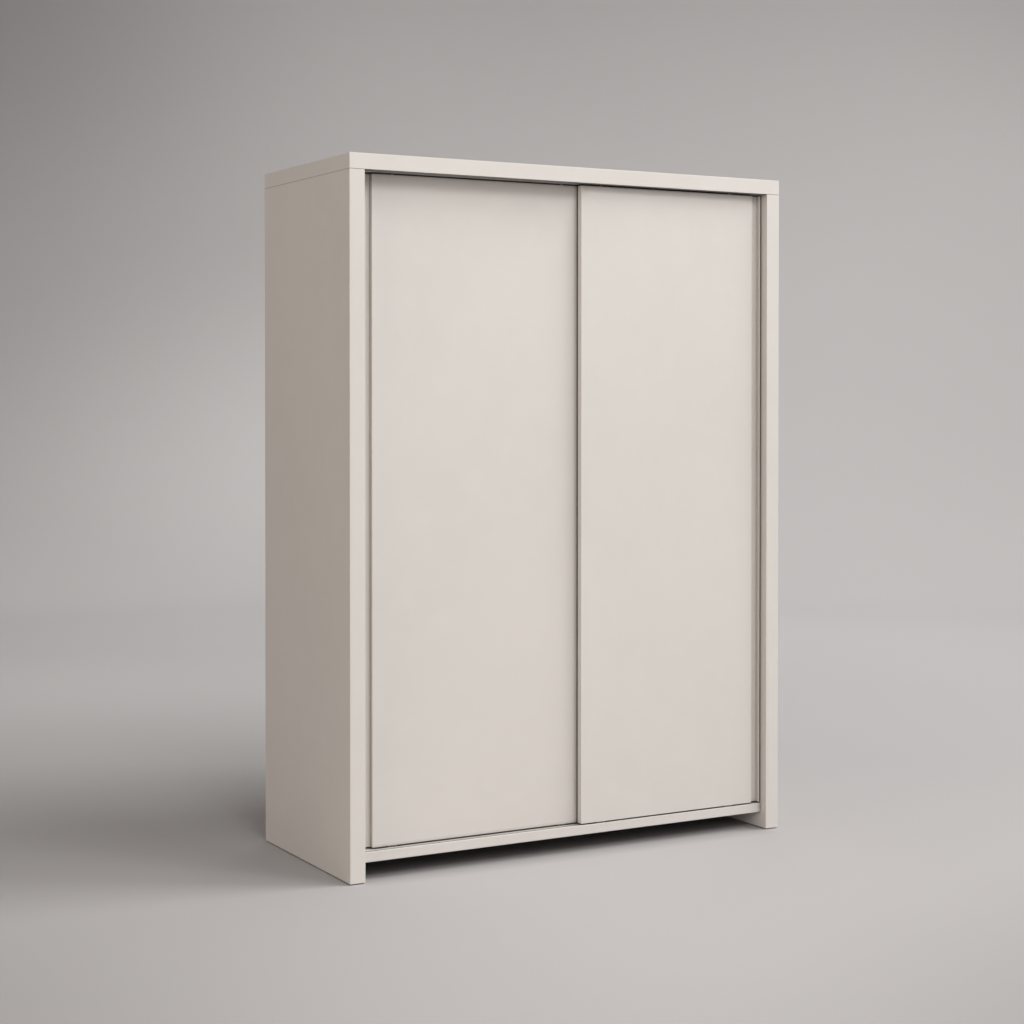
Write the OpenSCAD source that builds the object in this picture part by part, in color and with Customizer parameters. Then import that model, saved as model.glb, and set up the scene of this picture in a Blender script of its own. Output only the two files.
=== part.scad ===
// Sliding door wardrobe: a thick-walled shell, two flat doors that run past each other on
// inlaid tracks, a hanging bay on the left and a shelf bay on the right.
// X runs to the right, Y to the back and Z up. The origin is on the floor, at the middle of
// the shell's footprint.

/* [Overall] */
// Width over the side boards
width = 1450; // [1200:10:1900]
// Depth of the side boards and the top
depth = 610; // [520:5:760]
// Height from the floor to the top face
height = 2000; // [1650:10:2400]

/* [Shell boards] */
// Thickness of the side boards
side_t = 46; // [30:1:60]
// Thickness of the top board
top_t = 44; // [30:1:60]
// Thickness of the bottom board
bottom_t = 28; // [22:1:40]
// Space under the bottom board
ground_gap = 50; // [40:1:120]
// How far the bottom board and the front door stand back from the shell's front
setback = 29; // [15:1:60]
// Thickness of the plastic glides under the side boards
glide_t = 3; // [2:0.5:6]

/* [Interior] */
// Thickness of the partition between the bays
partition_t = 22; // [19:1:28]
// Thickness of the shelves
shelf_t = 22; // [18:1:28]
// Height of the space above the top shelves
hat_space = 266; // [180:1:400]
// Air between the rear door and the shelves
interior_gap = 12; // [6:1:40]
// Thickness of the back panels
back_t = 4; // [3:0.5:6]
// Distance from the back panels to the rear edges of the shell
back_inset = 10; // [5:1:20]
// Distance from the top shelf down to the middle of the hanging rail
rail_drop = 60; // [45:1:100]

/* [Doors] */
// Thickness of each door
door_t = 22; // [20:1:28]
// Air between the front door and the rear door
door_spacing = 5; // [4:0.5:12]
// Air above and below the doors
edge_gap = 4; // [2:0.5:5]
// Air between a closed door and the side board
close_gap = 4; // [3:0.5:8]
// How far right of the middle the front door ends
meeting_offset = 30; // [-60:1:60]
// How far the doors overlap when both are closed
overlap = 30; // [15:1:80]
// Clear width of the left door's finger groove, part of which the shell hides
left_groove_w = 40.5; // [20:0.5:45]
// Clear width of the right door's finger groove
right_groove_w = 28.5; // [20:0.5:45]
// Depth of the finger groove
groove_depth = 15; // [8:0.5:15]
// Thickness of the grip profile's outer lip
lip_t = 2.5; // [1.5:0.5:5]

/* [Running gear] */
// Radius of the door rollers
wheel_r = 14; // [13:0.5:16]
// Width of the door rollers
wheel_w = 5; // [4:0.5:6]
// Radius of the roller axles
axle_r = 2.5; // [2:0.25:3]
// Depth of the two channels in the bottom track
run_depth = 7.5; // [6:0.5:9]
// Depth of the two channels in the top track
guide_depth = 12; // [10:0.5:16]
// Radius of the guide pins
pin_r = 3; // [2.5:0.25:3]
// How far a guide pin reaches into the top track
pin_reach = 9; // [6:0.5:9]
// From a door's grip edge to its first roller and guide
outer_inset = 110; // [95:5:200]
// From a door's other edge to its second roller and guide
inner_inset = 75; // [55:5:200]

/* [Hidden] */
$fn = 48;

board_color = "#d8d0c7";
carcass_color = "#d4ccc2";
metal_color = "#b9bbbd";
steel_color = "#9a9da1";
plastic_color = "#e8e6e1";
dark_color = "#3b3b3d";
wood_color = "#c9a46b";

// Clearances
loose = 0.2;        // boards, profiles and housings in their grooves and pockets
running = 0.05;     // a shaft in its bore, on the radius
rolling = 0.3;      // rollers above the track, pins and springs from what they face
through = 1;        // how far a cutting solid passes the face that it cuts

// Shell
half_w = width / 2;
inner_x = half_w - side_t;
front_y = -depth / 2;
rear_y = depth / 2;
top_z = height - top_t;
deck_z = ground_gap + bottom_t;
board_front_y = front_y + setback;
back_y = rear_y - back_inset - back_t;
back_groove = 8;
back_tongue = back_groove - 1;

// Doors: track 0 is the front one and carries the right door
door_pitch = door_t + door_spacing;
door_z = deck_z + edge_gap;
door_h = top_z - edge_gap - door_z;
right_door_w = inner_x - close_gap - meeting_offset;
left_door_w = inner_x - close_gap + meeting_offset + overlap;
grip_wall = 2;
grip_tongue = 12;
tongue_y = groove_depth + grip_wall + 0.5;

// Interior
interior_y = board_front_y + door_pitch + door_t + interior_gap;
strip_flange_w = partition_t + 2;
strip_flange_t = 1.2;
strip_web_t = 1.5;
partition_rear_y = back_y - loose / 2 - strip_flange_t;
shelf_inset = 5;
shelf_front_y = interior_y + shelf_inset;
shelf_rear_y = back_y - 2;
shelf_play = 0.5;
bay_inner_x = partition_t / 2;
bay_w = inner_x - bay_inner_x;
bay_x = bay_inner_x + bay_w / 2;
hat_shelf_z = top_z - hat_space - shelf_t;
shelf_count = 4;
shelf_space = (hat_shelf_z - deck_z - shelf_count * shelf_t) / (shelf_count + 1);
shelf_z = [for (i = [1:shelf_count]) deck_z + i * shelf_space + (i - 1) * shelf_t];

// Shelf pins stand in rows of three holes at each shelf
peg_r = 2.5;
peg_hole_depth = 9;
peg_reach = 8;
peg_pitch = 32;
peg_edge = 37;
peg_rows_y = [shelf_front_y + peg_edge, shelf_rear_y - peg_edge];

// Hanging rail
rail_h = 30;
rail_w = 15;
rail_wall = 1.5;
rail_y = (interior_y + back_y) / 2;
rail_z = hat_shelf_z - rail_drop;
cup_wall = 2.5;
cup_l = 12;
plate_t = 2.5;
plate_h = 76;
plate_w = 24;
plate_screw_z = 28;

// Tracks
channel_w = wheel_w + 2;
track_flange = 2;
track_base = 1.5;
track_w = door_pitch + channel_w + 2 * track_flange;
track_front_y = board_front_y + door_t / 2 - channel_w / 2 - track_flange;
rib_w = door_pitch - channel_w;
rib_wall = 3;
run_h = run_depth + track_base;
guide_h = guide_depth + track_base;
track_screw_step = 300;
track_screw_count = floor((inner_x - 40) / track_screw_step);
track_screw_x = [for (i = [-track_screw_count:track_screw_count]) i * track_screw_step];
track_screw_y = track_front_y + track_w / 2;

// Screws, measured as [shank radius, head radius, length, head height]
small_screw = [1.6, 3.2, 16, 1.8];
track_screw = [1.9, 3.6, 22, 2];
pan_screw = [1.9, 3.8, 18, 2.2];
slot_w = 0.7;

// Cams, bolts and dowels that hold the boards together
cam_r = 7.5;
cam_l = 12.5;
cam_reach = 34;
cam_face = 9.5;
cam_slot_w = 7.4;
bolt_r = 2.5;
bolt_thread_r = 3;
bolt_thread_l = 11;
bolt_head_r = 3.3;
bolt_bore_r = 4;
cap_r = 9;
cap_t = 1.2;
dowel_r = 4;
dowel_l = 30;
drill_play = 0.1;
cam_rows_y = [front_y + 105, 0, rear_y - 55];
dowel_rows_y = [front_y + 205, rear_y - 155];
partition_cam_y = [interior_y + 65, partition_rear_y - 70];
partition_dowel_y = [interior_y + 165, partition_rear_y - 170];

// Rollers, in the door's own frame, whose floor is the door's lower edge
wheel_z = wheel_r + rolling - run_depth - edge_gap;
wheel_slot_l = 2 * wheel_r + 3;
roller_body_l = wheel_slot_l + 14;
roller_body_h = wheel_z + wheel_r + 7;
roller_flange_l = roller_body_l + 32;
housing_w = 14;
flange_t = 2.5;
hub_r = axle_r + 2.5;
wheel_hole_r = 1.8;
wheel_hole_count = 6;

// Guides, in the door's own frame, measured down from the door's upper edge
guide_body_l = 22;
guide_flange_l = guide_body_l + 42;
guide_roof = 8;
collar_t = 3;
collar_r = 4.7;
cavity_r = 5.2;
spring_l = 24;
spring_mean_r = 4.1;
spring_wire_r = 0.45;
spring_turns = 6;
spring_steps = 12;
spring_sides = 6;
pin_travel = pin_reach + edge_gap;
guide_body_h = guide_roof + collar_t + spring_l + 5;

// Wall brackets and buffers
bracket_w = 30;
bracket_leg = 42;
bracket_t = 3;
bracket_x = inner_x - 75;
anchor_r = 3;
anchor_drop = 24;
buffer_r = 5;
buffer_play = 0.2;
buffer_z = [door_z + 120, door_z + door_h - 120];

// Brush between the doors
brush_back_w = 7;
brush_back_t = 1.5;
brush_pile_w = 3;
brush_pile_inset = 0.5;
brush_pile_h = door_spacing - 0.6;

// Glides
glide_r = 15;
glide_pin_r = 1.5;
glide_pin_l = 14;
glide_y = [front_y + 35, 0, rear_y - 35];

// ---------- shared shapes ----------

module block(x, y, z) {
    translate([x[0], y[0], z[0]]) cube([x[1] - x[0], y[1] - y[0], z[1] - z[0]]);
}

module oval(h, w) {
    square([w, h - w], center = true);
    for (side = [-1, 1]) translate([0, side * (h - w) / 2]) circle(d = w);
}

// A countersunk screw: its head is flush with z = 0 and its shank runs down
module flat_screw(size) {
    difference() {
        union() {
            translate([0, 0, -size[3]]) cylinder(r1 = size[0], r2 = size[1], h = size[3]);
            translate([0, 0, -size[2]]) cylinder(r = size[0], h = size[2] - size[3]);
            translate([0, 0, -size[2] - size[0]]) cylinder(r1 = 0.2, r2 = size[0], h = size[0]);
        }
        cross_slot(size[1] * 1.1);
    }
}

// A pan head screw: the head stands on z = 0 and its shank runs down
module round_screw(size) {
    difference() {
        union() {
            cylinder(r1 = size[1], r2 = size[1] * 0.8, h = size[3]);
            translate([0, 0, -size[2]]) cylinder(r = size[0], h = size[2]);
            translate([0, 0, -size[2] - size[0]]) cylinder(r1 = 0.2, r2 = size[0], h = size[0]);
        }
        translate([0, 0, size[3]]) cross_slot(size[1] * 1.1);
    }
}

module cross_slot(l) {
    for (a = [0, 90]) rotate([0, 0, a]) cube([l, slot_w, 2], center = true);
}

// The hole for a screw: a countersunk seat at z = 0, a clear hole and a tight pilot below it
module flat_screw_seat(size) {
    translate([0, 0, -size[3]]) {
        cylinder(r1 = size[0] + drill_play, r2 = size[1] + drill_play, h = size[3]);
    }
    translate([0, 0, -drill_play]) cylinder(r = size[1] + drill_play, h = through);
    translate([0, 0, -size[2] - 3]) cylinder(r = size[0] + drill_play, h = size[2] + 3);
}

module pilot(size) {
    translate([0, 0, -size[2] - 3]) cylinder(r = size[0] + drill_play, h = size[2] + 3 + through);
}

// ---------- where the board joints are ----------
// In each joint's own frame z = 0 is the face where the two boards meet, +z points into the
// board that takes the bolt, and +y points to the face that the cam is turned from.

module at_top_joints(side, rows) {
    for (y = rows) {
        translate([side * (inner_x + cam_face), y, top_z]) rotate([0, 0, side * 90]) children();
    }
}

module at_bottom_joints(side, rows) {
    for (y = rows) {
        translate([side * inner_x, y, ground_gap + cam_face]) {
            rotate([0, side * 90, 0]) rotate([0, 0, -side * 90]) children();
        }
    }
}

module at_partition_top(rows) {
    for (y = rows) {
        translate([bay_inner_x - cam_face, y, top_z]) rotate([0, 0, -90]) children();
    }
}

module at_partition_bottom(rows) {
    for (y = rows) {
        translate([bay_inner_x - cam_face, y, deck_z]) {
            rotate([180, 0, 0]) rotate([0, 0, -90]) children();
        }
    }
}

module cam_drilling() {
    translate([0, cam_face - cam_l - loose, -cam_reach]) rotate([-90, 0, 0]) {
        cylinder(r = cam_r + drill_play, h = cam_l + loose + through);
    }
    translate([0, 0, -cam_reach]) cylinder(r = bolt_bore_r, h = cam_reach + through / 2);
    cylinder(r = bolt_thread_r + drill_play, h = bolt_thread_l + 1);
}

module dowel_drilling() {
    translate([0, 0, -dowel_l / 2 - 1]) cylinder(r = dowel_r + drill_play, h = dowel_l + 2);
}

module cam_lock() {
    translate([0, 0, -cam_reach]) difference() {
        translate([0, cam_face, 0]) rotate([90, 0, 0]) cylinder(r = cam_r, h = cam_l);
        translate([-cam_slot_w / 2, -cam_slot_w / 2, -cam_slot_w / 2]) {
            cube([cam_slot_w, cam_slot_w, cam_r + cam_slot_w]);
        }
        translate([0, cam_face, 0]) rotate([90, 0, 0]) cross_slot(cam_r * 1.2);
    }
}

module cam_bolt() {
    translate([0, 0, -cam_reach]) cylinder(r = bolt_r, h = cam_reach);
    translate([0, 0, -cam_reach]) cylinder(r = bolt_head_r, h = 2.5);
    cylinder(r = bolt_thread_r, h = bolt_thread_l);
}

module cam_cap() {
    translate([0, cam_face + cap_t, -cam_reach]) rotate([90, 0, 0]) {
        cylinder(r1 = cap_r - 0.6, r2 = cap_r, h = cap_t);
    }
}

module dowel() {
    translate([0, 0, -dowel_l / 2]) cylinder(r = dowel_r, h = dowel_l);
}

// ---------- shell ----------

module side_panel(side) {
    x = side < 0 ? [-half_w, -inner_x] : [inner_x, half_w];
    groove_x = side < 0 ? [-inner_x - back_groove, -inner_x + through]
                        : [inner_x - through, inner_x + back_groove];
    color(board_color) difference() {
        block(x, [front_y, rear_y], [glide_t, top_z]);
        block(groove_x, [back_y - loose / 2, back_y + back_t + loose / 2],
            [deck_z - back_groove, top_z + through]);
        at_top_joints(side, cam_rows_y) cam_drilling();
        at_top_joints(side, dowel_rows_y) dowel_drilling();
        at_bottom_joints(side, cam_rows_y) cylinder(r = bolt_thread_r + drill_play,
            h = bolt_thread_l + 1);
        at_bottom_joints(side, dowel_rows_y) dowel_drilling();
        peg_holes(side * inner_x, side, side < 0 ? [hat_shelf_z] : concat(shelf_z, hat_shelf_z));
        for (y = glide_y) translate([side * (half_w - side_t / 2), y, glide_t - through]) {
            cylinder(r = glide_pin_r + drill_play, h = glide_pin_l + through + 1);
        }
        if (side < 0) translate([-inner_x, rail_y, rail_z]) rotate([0, 90, 0]) bracket_pilots();
    }
}

module top_panel() {
    color(board_color) difference() {
        block([-half_w, half_w], [front_y, rear_y], [top_z, height]);
        block([-inner_x - back_groove, inner_x + back_groove],
            [back_y - loose / 2, back_y + back_t + loose / 2],
            [top_z - through, top_z + back_groove]);
        block([-inner_x, inner_x], [track_front_y - loose, track_front_y + track_w + loose],
            [top_z - through, top_z + guide_h]);
        for (side = [-1, 1]) {
            at_top_joints(side, cam_rows_y) {
                cylinder(r = bolt_thread_r + drill_play, h = bolt_thread_l + 1);
            }
            at_top_joints(side, dowel_rows_y) dowel_drilling();
        }
        at_partition_top(partition_cam_y) {
            cylinder(r = bolt_thread_r + drill_play, h = bolt_thread_l + 1);
        }
        at_partition_top(partition_dowel_y) dowel_drilling();
        at_top_track_screws() pilot(track_screw);
        at_wall_bracket_screws() pilot(pan_screw);
    }
}

module bottom_panel() {
    color(carcass_color) difference() {
        block([-inner_x, inner_x], [board_front_y, rear_y], [ground_gap, deck_z]);
        block([-inner_x - through, inner_x + through],
            [back_y - loose / 2, back_y + back_t + loose / 2],
            [deck_z - back_groove, deck_z + through]);
        block([-inner_x - through, inner_x + through],
            [track_front_y - loose, track_front_y + track_w + loose],
            [deck_z - run_h, deck_z + through]);
        for (side = [-1, 1]) {
            at_bottom_joints(side, cam_rows_y) cam_drilling();
            at_bottom_joints(side, dowel_rows_y) dowel_drilling();
        }
        at_partition_bottom(partition_cam_y) {
            cylinder(r = bolt_thread_r + drill_play, h = bolt_thread_l + 1);
        }
        at_partition_bottom(partition_dowel_y) dowel_drilling();
        at_bottom_track_screws() pilot(track_screw);
    }
}

module centre_partition() {
    color(carcass_color) difference() {
        block([-bay_inner_x, bay_inner_x], [interior_y, partition_rear_y], [deck_z, top_z]);
        at_partition_top(partition_cam_y) cam_drilling();
        at_partition_top(partition_dowel_y) dowel_drilling();
        at_partition_bottom(partition_cam_y) cam_drilling();
        at_partition_bottom(partition_dowel_y) dowel_drilling();
        peg_holes(-bay_inner_x, 1, [hat_shelf_z]);
        peg_holes(bay_inner_x, -1, concat(shelf_z, hat_shelf_z));
        translate([-bay_inner_x, rail_y, rail_z]) rotate([0, -90, 0]) bracket_pilots();
    }
}

module back_panel(side) {
    x = side < 0 ? [-inner_x - back_tongue, -(strip_web_t + loose) / 2]
                 : [(strip_web_t + loose) / 2, inner_x + back_tongue];
    color(carcass_color) difference() {
        block(x, [back_y, back_y + back_t], [deck_z - back_tongue, top_z + back_tongue]);
        anchor_hole(side);
    }
}

// An H-section strip that joins the two back panels behind the partition
module back_joint_profile() {
    y = [back_y - loose / 2, back_y + back_t + loose / 2];
    z = [deck_z, top_z];
    flange_x = [-strip_flange_w / 2, strip_flange_w / 2];
    color(plastic_color) union() {
        block([-strip_web_t / 2, strip_web_t / 2], [y[0] - 0.5, y[1] + 0.5], z);
        block(flange_x, [y[0] - strip_flange_t, y[0]], z);
        block(flange_x, [y[1], y[1] + strip_flange_t], z);
    }
}

module floor_glides() {
    color(dark_color) for (side = [-1, 1], y = glide_y) {
        translate([side * (half_w - side_t / 2), y, 0]) {
            cylinder(r1 = glide_r - 1, r2 = glide_r, h = glide_t);
            cylinder(r = glide_pin_r, h = glide_t + glide_pin_l);
        }
    }
}

// ---------- shelves and rail ----------

module shelf(side, z) {
    x = side * bay_x;
    half = bay_w / 2 - shelf_play;
    color(carcass_color) {
        block([x - half, x + half], [shelf_front_y, shelf_rear_y], [z, z + shelf_t]);
    }
}

// Three holes under each shelf, drilled from x into the board that lies that way
module peg_holes(x, way, levels) {
    for (z = levels, y = peg_rows_y, step = [-1, 0, 1]) {
        translate([x - way * through, y, z - peg_r + step * peg_pitch]) rotate([0, way * 90, 0]) {
            cylinder(r = peg_r + drill_play, h = peg_hole_depth + through, $fn = 24);
        }
    }
}

module pegs(x, way, levels) {
    for (z = levels, y = peg_rows_y) {
        translate([x - way * peg_reach, y, z - peg_r]) rotate([0, way * 90, 0]) {
            cylinder(r = peg_r, h = peg_hole_depth - 1 + peg_reach, $fn = 24);
        }
    }
}

module shelf_pins() {
    right_levels = concat(shelf_z, hat_shelf_z);
    color(steel_color) {
        pegs(-inner_x, -1, [hat_shelf_z]);
        pegs(-bay_inner_x, 1, [hat_shelf_z]);
        pegs(bay_inner_x, -1, right_levels);
        pegs(inner_x, 1, right_levels);
    }
}

module hanging_rail() {
    l = bay_w - 2 * plate_t;
    color(metal_color) translate([-bay_x - l / 2, rail_y, rail_z]) rotate([90, 0, 90]) {
        linear_extrude(l) difference() {
            oval(rail_h, rail_w);
            oval(rail_h - 2 * rail_wall, rail_w - 2 * rail_wall);
        }
    }
}

// The plate lies on z = 0 and the cup stands up from it
module rail_bracket() {
    color(metal_color) rotate([0, 0, 90]) difference() {
        union() {
            linear_extrude(plate_t) oval(plate_h, plate_w);
            linear_extrude(plate_t + cup_l) {
                oval(rail_h + 2 * (loose + cup_wall), rail_w + 2 * (loose + cup_wall));
            }
        }
        translate([0, 0, plate_t]) linear_extrude(cup_l + through) {
            oval(rail_h + 2 * loose, rail_w + 2 * loose);
        }
        for (side = [-1, 1]) translate([0, side * plate_screw_z, plate_t]) {
            flat_screw_seat(small_screw);
        }
    }
}

module bracket_pilots() {
    for (side = [-1, 1]) translate([side * plate_screw_z, 0, plate_t]) pilot(small_screw);
}

module rail_bracket_left() {
    translate([-inner_x, rail_y, rail_z]) rotate([0, 90, 0]) rail_bracket();
}

module rail_bracket_right() {
    translate([-bay_inner_x, rail_y, rail_z]) rotate([0, -90, 0]) rail_bracket();
}

module rail_bracket_screws() {
    color(steel_color) for (side = [-1, 1]) {
        translate([-inner_x + plate_t, rail_y, rail_z + side * plate_screw_z]) {
            rotate([0, 90, 0]) flat_screw(small_screw);
        }
        translate([-bay_inner_x - plate_t, rail_y, rail_z + side * plate_screw_z]) {
            rotate([0, -90, 0]) flat_screw(small_screw);
        }
    }
}

// ---------- tracks ----------

// Section of a double track, seen along X: y = 0 is its front and its channels open upwards
module track_section(h, channel_depth) {
    difference() {
        square([track_w, h]);
        for (i = [0, 1]) translate([track_flange + i * door_pitch, h - channel_depth]) {
            square([channel_w, channel_depth + through]);
        }
        translate([track_w / 2 - rib_w / 2 + rib_wall, -through]) {
            square([rib_w - 2 * rib_wall, h - rib_wall + through]);
        }
    }
}

module track_bar(h, channel_depth) {
    rotate([90, 0, 90]) linear_extrude(2 * inner_x - 2 * loose) track_section(h, channel_depth);
}

module at_bottom_track_screws() {
    for (x = track_screw_x) translate([x, track_screw_y, deck_z]) children();
}

module at_top_track_screws() {
    for (x = track_screw_x) {
        translate([x, track_screw_y, top_z]) rotate([180, 0, 0]) children();
    }
}

module bottom_track() {
    color(metal_color) difference() {
        translate([-inner_x + loose, track_front_y, deck_z - run_h]) track_bar(run_h, run_depth);
        at_bottom_track_screws() flat_screw_seat(track_screw);
    }
}

module top_track() {
    color(metal_color) difference() {
        translate([-inner_x + loose, track_front_y, top_z + guide_h]) {
            mirror([0, 0, 1]) track_bar(guide_h, guide_depth);
        }
        at_top_track_screws() flat_screw_seat(track_screw);
    }
}

module bottom_track_screws() {
    color(steel_color) at_bottom_track_screws() flat_screw(track_screw);
}

module top_track_screws() {
    color(steel_color) at_top_track_screws() flat_screw(track_screw);
}

// ---------- wall brackets and buffers ----------

module anchor_hole(side) {
    translate([side * bracket_x, back_y - bracket_t - through, top_z - anchor_drop]) {
        rotate([-90, 0, 0]) cylinder(r = anchor_r, h = bracket_t + back_t + 2 * through);
    }
}

module at_wall_bracket_screws(sides = [-1, 1]) {
    for (side = sides, step = [-8, 8]) {
        translate([side * bracket_x + step, back_y - bracket_leg * 0.62, top_z - bracket_t]) {
            rotate([180, 0, 0]) children();
        }
    }
}

module wall_bracket(side) {
    x = [side * bracket_x - bracket_w / 2, side * bracket_x + bracket_w / 2];
    color(steel_color) difference() {
        union() {
            block(x, [back_y - bracket_leg, back_y], [top_z - bracket_t, top_z]);
            block(x, [back_y - bracket_t, back_y], [top_z - bracket_leg, top_z]);
        }
        anchor_hole(side);
        at_wall_bracket_screws([side]) pilot(pan_screw);
    }
}

module wall_bracket_screws() {
    color(steel_color) at_wall_bracket_screws() round_screw(pan_screw);
}

module door_buffers() {
    color(dark_color) for (side = [-1, 1], track = [0, 1], z = buffer_z) {
        translate([side * inner_x, board_front_y + track * door_pitch + door_t / 2, z]) {
            rotate([0, -side * 90, 0]) cylinder(r1 = buffer_r, r2 = buffer_r - 1,
                h = close_gap - buffer_play);
        }
    }
}

// ---------- board fasteners ----------

module cam_locks() {
    color(metal_color) at_cam_joints() cam_lock();
}

module cam_bolts() {
    color(steel_color) at_cam_joints() cam_bolt();
}

module at_cam_joints() {
    for (side = [-1, 1]) {
        at_top_joints(side, cam_rows_y) children();
        at_bottom_joints(side, cam_rows_y) children();
    }
    at_partition_top(partition_cam_y) children();
    at_partition_bottom(partition_cam_y) children();
}

module cam_cover_caps() {
    color(plastic_color) {
        for (side = [-1, 1]) at_top_joints(side, cam_rows_y) cam_cap();
        at_partition_top(partition_cam_y) cam_cap();
        at_partition_bottom(partition_cam_y) cam_cap();
    }
}

module wooden_dowels() {
    color(wood_color) {
        for (side = [-1, 1]) {
            at_top_joints(side, dowel_rows_y) dowel();
            at_bottom_joints(side, dowel_rows_y) dowel();
        }
        at_partition_top(partition_dowel_y) dowel();
        at_partition_bottom(partition_dowel_y) dowel();
    }
}

// ---------- doors ----------
// In a door's own frame x = 0 is its grip edge, y = 0 its front face and z = 0 its lower edge.

function door_w(door) = door == "left" ? left_door_w : right_door_w;
function groove_w(door) = door == "left" ? left_groove_w : right_groove_w;
function grip_w(door) = lip_t + groove_w(door);
function hardware_x(door) = [outer_inset, door_w(door) - inner_inset];

module place_door(door) {
    if (door == "left") {
        translate([-inner_x + close_gap, board_front_y + door_pitch, door_z]) children();
    } else {
        translate([inner_x - close_gap, board_front_y, door_z]) mirror([1, 0, 0]) children();
    }
}

module place_hardware(door, places) {
    place_door(door) for (i = places) translate([hardware_x(door)[i], door_t / 2, 0]) children();
}

module door_panel(door) {
    color(board_color) difference() {
        place_door(door) difference() {
            block([grip_w(door), door_w(door)], [0, door_t], [0, door_h]);
            block([grip_w(door) - through, grip_w(door) + grip_tongue + loose],
                [tongue_y - loose / 2, tongue_y + grip_wall + loose / 2],
                [-through, door_h + through]);
        }
        place_hardware(door, [0, 1]) {
            roller_pocket();
            translate([0, 0, door_h]) guide_pocket();
        }
        if (door == "right") place_door(door) brush_rebate();
    }
}

// The extruded grip: an outer lip, the floor of the finger groove and a tongue for the panel
module grip_profile(door) {
    color(board_color) place_door(door) linear_extrude(door_h) difference() {
        union() {
            square([lip_t, door_t]);
            translate([0, groove_depth]) square([grip_w(door), door_t - groove_depth]);
            translate([grip_w(door) - through, tongue_y]) square([grip_tongue + through, grip_wall]);
        }
        translate([lip_t, groove_depth + grip_wall]) {
            square([groove_w(door) - grip_wall, door_t - groove_depth - 2 * grip_wall]);
        }
    }
}

module roller_flange_screws() {
    for (side = [-1, 1]) {
        translate([side * (roller_flange_l / 2 - 8), 0, 0]) rotate([180, 0, 0]) children();
    }
}

module guide_flange_screws() {
    for (side = [-1, 1]) translate([side * (guide_flange_l / 2 - 10), 0, 0]) children();
}

module roller_pocket() {
    half = housing_w / 2 + loose;
    flange_half = roller_flange_l / 2 + loose;
    body_half = roller_body_l / 2 + loose;
    block([-flange_half, flange_half], [-half, half], [-through, flange_t]);
    block([-body_half, body_half], [-half, half], [-through, roller_body_h + loose]);
    roller_flange_screws() pilot(small_screw);
}

module guide_pocket() {
    half = housing_w / 2 + loose;
    flange_half = guide_flange_l / 2 + loose;
    body_half = guide_body_l / 2 + loose;
    block([-flange_half, flange_half], [-half, half], [-flange_t, through]);
    block([-body_half, body_half], [-half, half], [-guide_body_h - loose, through]);
    guide_flange_screws() pilot(small_screw);
}

module roller_housings(door) {
    half = housing_w / 2;
    color(dark_color) place_hardware(door, [0, 1]) difference() {
        union() {
            block([-roller_flange_l / 2, roller_flange_l / 2], [-half, half], [0, flange_t]);
            block([-roller_body_l / 2, roller_body_l / 2], [-half, half], [0, roller_body_h]);
        }
        block([-wheel_slot_l / 2, wheel_slot_l / 2], [-channel_w / 2, channel_w / 2],
            [-through, wheel_z + wheel_r + 2]);
        translate([0, 0, wheel_z]) rotate([90, 0, 0]) {
            cylinder(r = axle_r, h = housing_w + 2 * through, center = true);
        }
        roller_flange_screws() flat_screw_seat(small_screw);
    }
}

module roller_axles(door) {
    color(steel_color) place_hardware(door, [0, 1]) translate([0, 0, wheel_z]) {
        rotate([90, 0, 0]) cylinder(r = axle_r, h = housing_w, center = true);
    }
}

// A crowned nylon wheel with lightening holes around its hub
module roller(door, i) {
    color(plastic_color) place_hardware(door, [i]) translate([0, 0, wheel_z]) {
        rotate([90, 0, 0]) difference() {
            rotate_extrude() polygon([
                [axle_r + running, -wheel_w / 2 - 0.5], [hub_r, -wheel_w / 2 - 0.5],
                [hub_r, -wheel_w / 2 + 1], [wheel_r - 3, -wheel_w / 2 + 1],
                [wheel_r - 3, -wheel_w / 2], [wheel_r - 0.6, -wheel_w / 2],
                [wheel_r, -wheel_w / 2 + 1.2], [wheel_r, wheel_w / 2 - 1.2],
                [wheel_r - 0.6, wheel_w / 2], [wheel_r - 3, wheel_w / 2],
                [wheel_r - 3, wheel_w / 2 - 1], [hub_r, wheel_w / 2 - 1],
                [hub_r, wheel_w / 2 + 0.5], [axle_r + running, wheel_w / 2 + 0.5]
            ]);
            for (a = [1:wheel_hole_count]) rotate([0, 0, a * 360 / wheel_hole_count]) {
                translate([(hub_r + wheel_r - 3) / 2, 0, 0]) {
                    cylinder(r = wheel_hole_r, h = 2 * wheel_w, center = true, $fn = 24);
                }
            }
        }
    }
}

module guide_housings(door) {
    half = housing_w / 2;
    color(dark_color) place_hardware(door, [0, 1]) translate([0, 0, door_h]) difference() {
        union() {
            block([-guide_flange_l / 2, guide_flange_l / 2], [-half, half], [-flange_t, 0]);
            block([-guide_body_l / 2, guide_body_l / 2], [-half, half], [-guide_body_h, 0]);
        }
        translate([0, 0, -guide_roof - through]) {
            cylinder(r = pin_r + running, h = guide_roof + 2 * through);
        }
        translate([0, 0, -guide_roof - collar_t - spring_l - 2 * rolling]) {
            cylinder(r = cavity_r, h = collar_t + spring_l + 2 * rolling);
        }
        guide_flange_screws() flat_screw_seat(small_screw);
    }
}

// A guide pin with a collar that its spring holds up against the housing's roof
module guide_pin(door, i) {
    collar_z = -guide_roof - collar_t - rolling / 2;
    color(plastic_color) place_hardware(door, [i]) translate([0, 0, door_h]) {
        translate([0, 0, collar_z]) cylinder(r = collar_r, h = collar_t);
        translate([0, 0, collar_z]) {
            cylinder(r = pin_r, h = -collar_z + edge_gap + pin_reach - 1);
        }
        translate([0, 0, edge_gap + pin_reach - 1]) {
            cylinder(r1 = pin_r, r2 = pin_r - 1, h = 1);
        }
    }
}

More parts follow.
